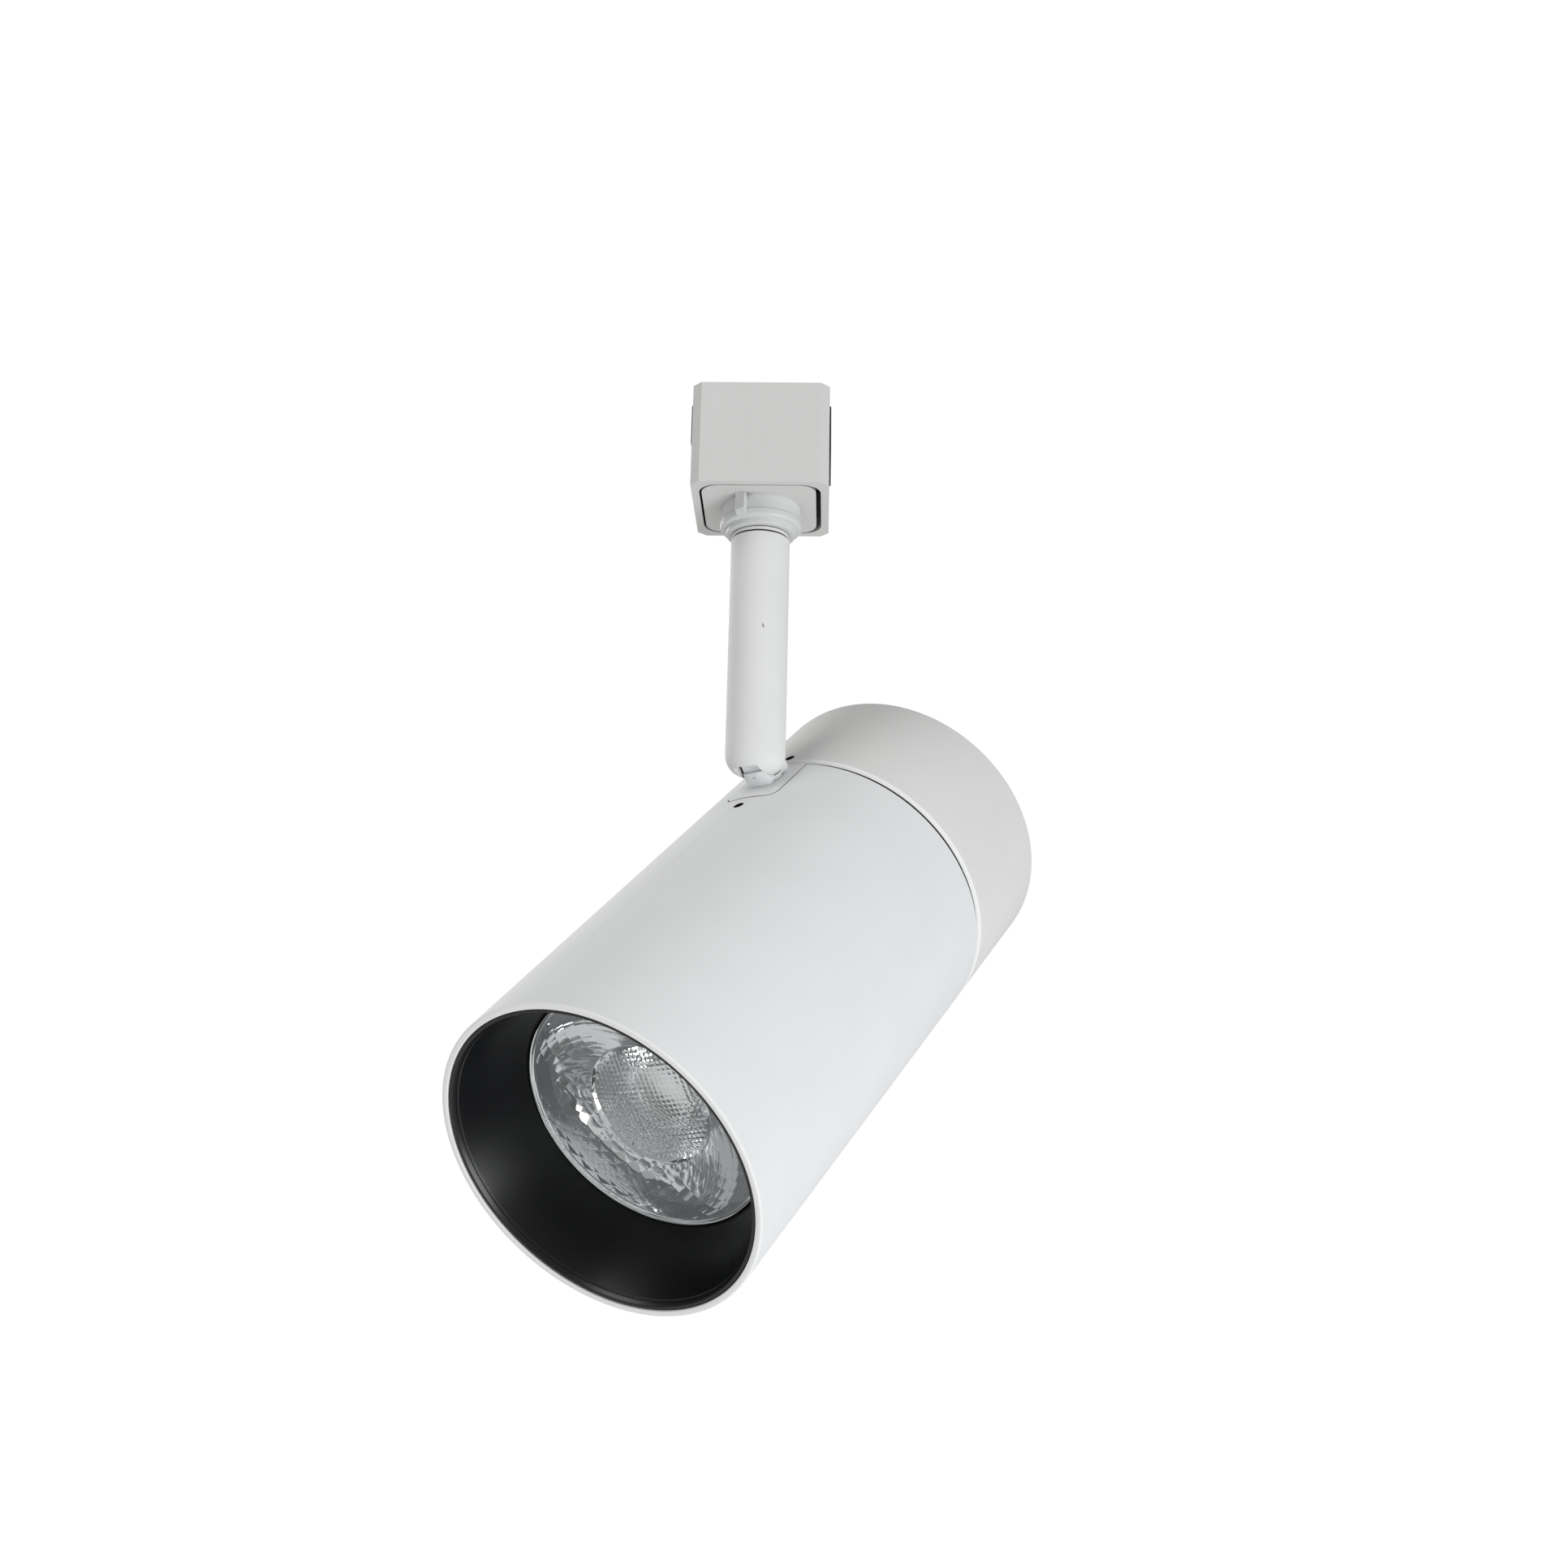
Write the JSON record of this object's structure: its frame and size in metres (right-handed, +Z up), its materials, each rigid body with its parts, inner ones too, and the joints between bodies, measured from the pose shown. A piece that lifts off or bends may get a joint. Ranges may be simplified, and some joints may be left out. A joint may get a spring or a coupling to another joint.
{
  "type": "track spotlight",
  "caption": "Ceiling track spotlight: plug-in adapter box, swivelling stem and tilting cylindrical LED head with a black baffle and clear lens.",
  "frame": {"origin": "centre of the adapter's top face, which lies against the underside of the track", "axes": "+Z up into the track, -Y the adapter's front, X along its latches"},
  "size_m": [0.139, 0.1613, 0.2357],
  "materials": {
    "adapter_plastic": "moulded, fine grain",
    "collar_plastic": "moulded, slight sheen",
    "white_plastic": "moulded",
    "latch_plastic": "moulded",
    "lamp_paint": "satin powder coat, fine orange peel",
    "baffle_plastic": "satin black",
    "black_plastic": "moulded",
    "black_rubber": "matte",
    "black_steel": "black oxide",
    "steel": "zinc plated",
    "brass": "bright",
    "cast_aluminium": "as cast",
    "clear_optic": "clear moulded optic",
    "led_board": "ceramic",
    "phosphor": "silicone gel",
    "thermal_sheet": "matte",
    "circuit_board": "solder mask",
    "ferrite": "sintered",
    "capacitor_sleeve": "shrink sleeve",
    "lead_insulation": "extruded"
  },
  "bodies": {
    "adapter": {"adapter_shell": "adapter_plastic", "adapter_base": "adapter_plastic", "adapter_screws": "steel", "contact_carrier": "white_plastic", "live_contact": "brass", "neutral_contact": "brass", "earth_contact": "brass", "terminal_block": "white_plastic", "terminal_screws": "brass", "latch_springs": "steel", "swivel_collar": "collar_plastic"},
    "latch_left": {"release_latch_left": "latch_plastic"},
    "latch_right": {"release_latch_right": "latch_plastic"},
    "stem": {"stem": "lamp_paint", "stem_plug": "steel", "thrust_washer": "white_plastic", "swivel_bolt": "steel", "spring_washer": "steel", "stop_washer": "steel", "swivel_nut": "steel", "hinge_screw": "steel", "stem_leads": "lead_insulation"},
    "lamp": {"knuckle": "lamp_paint", "knuckle_nut": "steel", "tilt_washers": "white_plastic", "mount_plate": "lamp_paint", "plate_screws": "steel", "front_housing": "lamp_paint", "rear_cap": "lamp_paint", "seam_gasket": "black_rubber", "set_screws": "black_steel", "chassis_ring": "cast_aluminium", "baffle": "baffle_plastic", "lens": "clear_optic", "lens_holder": "baffle_plastic", "cob_holder": "white_plastic", "holder_screws": "steel", "cob_led": "led_board", "led_phosphor": "phosphor", "thermal_pad": "thermal_sheet", "heat_sink": "cast_aluminium", "heat_sink_screws": "steel", "driver_tray": "black_plastic", "tray_screws": "steel", "driver_board": "circuit_board", "board_screws": "steel", "transformer": "ferrite", "capacitors": "capacitor_sleeve", "choke": "ferrite", "input_terminal": "white_plastic", "output_terminal": "white_plastic", "led_leads": "lead_insulation", "supply_leads": "lead_insulation"}
  },
  "joints": [
    {"name": "stem_pan", "type": "hinge", "parent": "adapter", "child": "stem", "pos_m": [0, 0, 0], "axis": [0, 0, 1], "range_deg": [-165, 165]},
    {"name": "lamp_tilt", "type": "hinge", "parent": "stem", "child": "lamp", "pos_m": [0, 0, -0.09267], "axis": [0.831, -0.5563, 0], "range_deg": [-39.48, 50.52]},
    {"name": "latch_left_press", "type": "slide", "parent": "adapter", "child": "latch_left", "axis": [1, 0, 0], "range_m": [0, 0.002], "stiffness_N_per_m": 1500, "springref_m": -0.002},
    {"name": "latch_right_press", "type": "slide", "parent": "adapter", "child": "latch_right", "axis": [-1, 0, 0], "range_m": [0, 0.002], "stiffness_N_per_m": 1500, "springref_m": -0.002}
  ]
}
